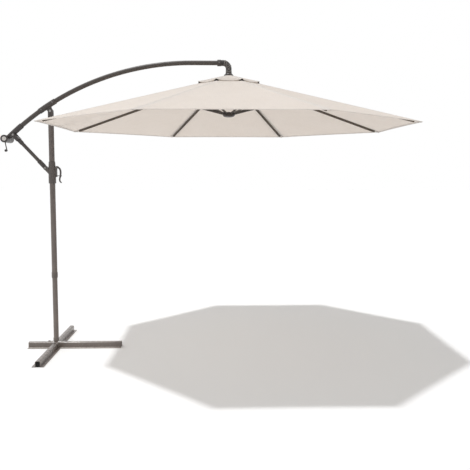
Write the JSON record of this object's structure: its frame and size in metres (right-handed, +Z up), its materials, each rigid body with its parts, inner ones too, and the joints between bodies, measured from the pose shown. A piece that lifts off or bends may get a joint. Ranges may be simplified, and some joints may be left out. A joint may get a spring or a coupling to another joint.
{
  "type": "cantilever parasol",
  "caption": "Cantilever garden parasol: curved arm on a side pole with cross base, strut and slider, crank housing, and a folding octagonal canopy with a raised vent.",
  "frame": {"origin": "on the pole's axis, at the underside of the cross base", "axes": "+X from the pole towards the canopy, +Y away from the viewer of the picture, +Z up along the pole"},
  "size_m": [3.1524, 2.7346, 2.3106],
  "materials": {
    "base_paint": "satin",
    "pole_paint": "satin",
    "frame_paint": "satin",
    "cast": "satin",
    "fitting": "satin",
    "steel": "satin",
    "disc": "satin",
    "bush": "satin",
    "cloth": "matte"
  },
  "bodies": {
    "stand": {"cross_bar_long": "base_paint", "cross_bar_right": "base_paint", "cross_bar_left": "base_paint", "base_cap": "base_paint", "base_bolts": "steel", "lower_pole": "pole_paint", "pole_collar": "fitting", "upper_pole": "pole_paint", "pole_head": "cast", "arm_pivot_pin": "steel"},
    "arm": {"arm_tube": "frame_paint", "arm_saddle": "cast", "arm_screws": "steel", "elbow": "fitting", "elbow_collar": "fitting", "canopy_skirt": "fitting", "crown": "fitting", "crown_pins": "steel", "crank_housing": "fitting", "strut_pin": "steel"},
    "pulley": {"hoist_pulley": "fitting"},
    "crank": {"reel": "fitting", "crank_rim": "fitting", "crank_disc": "disc", "crank_arm": "frame_paint"},
    "knob": {"crank_knob": "fitting"},
    "strut": {"strut_tube": "frame_paint", "strut_fork": "fitting", "strut_socket": "fitting"},
    "slider": {"slider_body": "fitting", "slider_bush": "bush", "slider_pins": "steel"},
    "lever": {"lever": "fitting"},
    "lock": {"lock_pin": "steel"},
    "runner": {"runner": "fitting", "runner_pins": "steel"},
    "rib_1": {"rib_1": "frame_paint", "canopy_panel_1": "cloth"},
    "rib_2": {"rib_2": "frame_paint", "canopy_panel_2": "cloth"},
    "rib_3": {"rib_3": "frame_paint", "canopy_panel_3": "cloth"},
    "rib_4": {"rib_4": "frame_paint", "canopy_panel_4": "cloth"},
    "rib_5": {"rib_5": "frame_paint", "canopy_panel_5": "cloth"},
    "rib_6": {"rib_6": "frame_paint", "canopy_panel_6": "cloth"},
    "rib_7": {"rib_7": "frame_paint", "canopy_panel_7": "cloth"},
    "rib_8": {"rib_8": "frame_paint", "canopy_panel_8": "cloth"},
    "stretcher_1": {"stretcher_1": "frame_paint"},
    "stretcher_2": {"stretcher_2": "frame_paint"},
    "stretcher_3": {"stretcher_3": "frame_paint"},
    "stretcher_4": {"stretcher_4": "frame_paint"},
    "stretcher_5": {"stretcher_5": "frame_paint"},
    "stretcher_6": {"stretcher_6": "frame_paint"},
    "stretcher_7": {"stretcher_7": "frame_paint"},
    "stretcher_8": {"stretcher_8": "frame_paint"}
  },
  "joints": [
    {"name": "arm_tilt", "type": "hinge", "parent": "stand", "child": "arm", "pos_m": [0, 0, 1.90485], "axis": [0, 1, 0], "range_deg": [-12, 5]},
    {"name": "strut_swing", "type": "hinge", "parent": "arm", "child": "strut", "pos_m": [-0.29236, 0, 1.71789], "axis": [0, 1, 0], "range_deg": [-9, 21.3]},
    {"name": "slider_slide", "type": "slide", "parent": "stand", "child": "slider", "axis": [0, 0, 1], "range_m": [-0.0953, 0.0403]},
    {"name": "lever_pull", "type": "hinge", "parent": "slider", "child": "lever", "pos_m": [0.04005, 0, 1.46285], "axis": [0, -1, 0], "range_deg": [0, 12]},
    {"name": "lock_slide", "type": "slide", "parent": "slider", "child": "lock", "axis": [1, 0, 0], "range_m": [0, 0.0157]},
    {"name": "canopy_close", "type": "hinge", "parent": "arm", "child": "rib_1", "pos_m": [1.4416, 0.01378, 2.16004], "axis": [-0.3827, 0.9239, 0], "range_deg": [0, 70], "deforming": ["canopy_panel_1"]},
    {"name": "rib_2_fold", "type": "hinge", "parent": "arm", "child": "rib_2", "pos_m": [1.42212, 0.03326, 2.16004], "axis": [-0.9239, 0.3827, 0], "range_deg": [-0.5, 70.5], "deforming": ["canopy_panel_2"]},
    {"name": "rib_3_fold", "type": "hinge", "parent": "arm", "child": "rib_3", "pos_m": [1.39457, 0.03326, 2.16004], "axis": [-0.9239, -0.3827, 0], "range_deg": [-0.5, 70.5], "deforming": ["canopy_panel_3"]},
    {"name": "rib_4_fold", "type": "hinge", "parent": "arm", "child": "rib_4", "pos_m": [1.37508, 0.01378, 2.16004], "axis": [-0.3827, -0.9239, 0], "range_deg": [-0.5, 70.5], "deforming": ["canopy_panel_4"]},
    {"name": "rib_5_fold", "type": "hinge", "parent": "arm", "child": "rib_5", "pos_m": [1.37508, -0.01378, 2.16004], "axis": [0.3827, -0.9239, 0], "range_deg": [-0.5, 70.5], "deforming": ["canopy_panel_5"]},
    {"name": "rib_6_fold", "type": "hinge", "parent": "arm", "child": "rib_6", "pos_m": [1.39457, -0.03326, 2.16004], "axis": [0.9239, -0.3827, 0], "range_deg": [-0.5, 70.5], "deforming": ["canopy_panel_6"]},
    {"name": "rib_7_fold", "type": "hinge", "parent": "arm", "child": "rib_7", "pos_m": [1.42212, -0.03326, 2.16004], "axis": [0.9239, 0.3827, 0], "range_deg": [-0.5, 70.5], "deforming": ["canopy_panel_7"]},
    {"name": "rib_8_fold", "type": "hinge", "parent": "arm", "child": "rib_8", "pos_m": [1.4416, -0.01378, 2.16004], "axis": [0.3827, 0.9239, 0], "range_deg": [-0.5, 70.5], "deforming": ["canopy_panel_8"]},
    {"name": "stretcher_1_fold", "type": "hinge", "parent": "rib_1", "child": "stretcher_1", "pos_m": [1.91435, 0.2096, 2.02197], "axis": [-0.3827, 0.9239, 0], "range_deg": [-141, 1]},
    {"name": "stretcher_2_fold", "type": "hinge", "parent": "rib_2", "child": "stretcher_2", "pos_m": [1.61794, 0.50601, 2.02197], "axis": [-0.9239, 0.3827, 0], "range_deg": [-141, 1]},
    {"name": "stretcher_3_fold", "type": "hinge", "parent": "rib_3", "child": "stretcher_3", "pos_m": [1.19875, 0.50601, 2.02197], "axis": [-0.9239, -0.3827, 0], "range_deg": [-141, 1]},
    {"name": "stretcher_4_fold", "type": "hinge", "parent": "rib_4", "child": "stretcher_4", "pos_m": [0.90233, 0.2096, 2.02197], "axis": [-0.3827, -0.9239, 0], "range_deg": [-141, 1]},
    {"name": "stretcher_5_fold", "type": "hinge", "parent": "rib_5", "child": "stretcher_5", "pos_m": [0.90233, -0.2096, 2.02197], "axis": [0.3827, -0.9239, 0], "range_deg": [-141, 1]},
    {"name": "stretcher_6_fold", "type": "hinge", "parent": "rib_6", "child": "stretcher_6", "pos_m": [1.19875, -0.50601, 2.02197], "axis": [0.9239, -0.3827, 0], "range_deg": [-141, 1]},
    {"name": "stretcher_7_fold", "type": "hinge", "parent": "rib_7", "child": "stretcher_7", "pos_m": [1.61794, -0.50601, 2.02197], "axis": [0.9239, 0.3827, 0], "range_deg": [-141, 1]},
    {"name": "stretcher_8_fold", "type": "hinge", "parent": "rib_8", "child": "stretcher_8", "pos_m": [1.91435, -0.2096, 2.02197], "axis": [0.3827, 0.9239, 0], "range_deg": [-141, 1]},
    {"name": "runner_turn", "type": "hinge", "parent": "stretcher_1", "child": "runner", "pos_m": [1.4416, 0.01378, 1.8839], "axis": [-0.3827, 0.9239, 0], "range_deg": [-0.5, 70.5]},
    {"name": "crank_turn", "type": "hinge", "parent": "arm", "child": "crank", "pos_m": [-0.34674, 0, 1.68537], "axis": [0, -1, 0], "range_deg": [-20, 2813]},
    {"name": "pulley_turn", "type": "hinge", "parent": "arm", "child": "pulley", "pos_m": [1.39516, 0, 2.27185], "axis": [0, 1, 0], "range_deg": [-20, 4486]},
    {"name": "knob_spin", "type": "hinge", "parent": "crank", "child": "knob", "pos_m": [-0.32861, -0.06515, 1.59212], "axis": [0, -1, 0], "continuous": true}
  ],
  "couplings": [
    {"joint": "strut_swing", "follows": "arm_tilt", "ratio": -1.747},
    {"joint": "slider_slide", "follows": "arm_tilt", "m_per_rad": 0.4503},
    {"joint": "lock_slide", "follows": "lever_pull", "m_per_rad": 0.0735},
    {"joint": "rib_2_fold", "follows": "canopy_close", "ratio": 1},
    {"joint": "rib_3_fold", "follows": "canopy_close", "ratio": 1},
    {"joint": "rib_4_fold", "follows": "canopy_close", "ratio": 1},
    {"joint": "rib_5_fold", "follows": "canopy_close", "ratio": 1},
    {"joint": "rib_6_fold", "follows": "canopy_close", "ratio": 1},
    {"joint": "rib_7_fold", "follows": "canopy_close", "ratio": 1},
    {"joint": "rib_8_fold", "follows": "canopy_close", "ratio": 1},
    {"joint": "stretcher_1_fold", "follows": "canopy_close", "ratio": -2},
    {"joint": "stretcher_2_fold", "follows": "canopy_close", "ratio": -2},
    {"joint": "stretcher_3_fold", "follows": "canopy_close", "ratio": -2},
    {"joint": "stretcher_4_fold", "follows": "canopy_close", "ratio": -2},
    {"joint": "stretcher_5_fold", "follows": "canopy_close", "ratio": -2},
    {"joint": "stretcher_6_fold", "follows": "canopy_close", "ratio": -2},
    {"joint": "stretcher_7_fold", "follows": "canopy_close", "ratio": -2},
    {"joint": "stretcher_8_fold", "follows": "canopy_close", "ratio": -2},
    {"joint": "runner_turn", "follows": "canopy_close", "ratio": 1},
    {"joint": "crank_turn", "follows": "canopy_close", "ratio": 39.9},
    {"joint": "pulley_turn", "follows": "canopy_close", "ratio": 63.8}
  ]
}
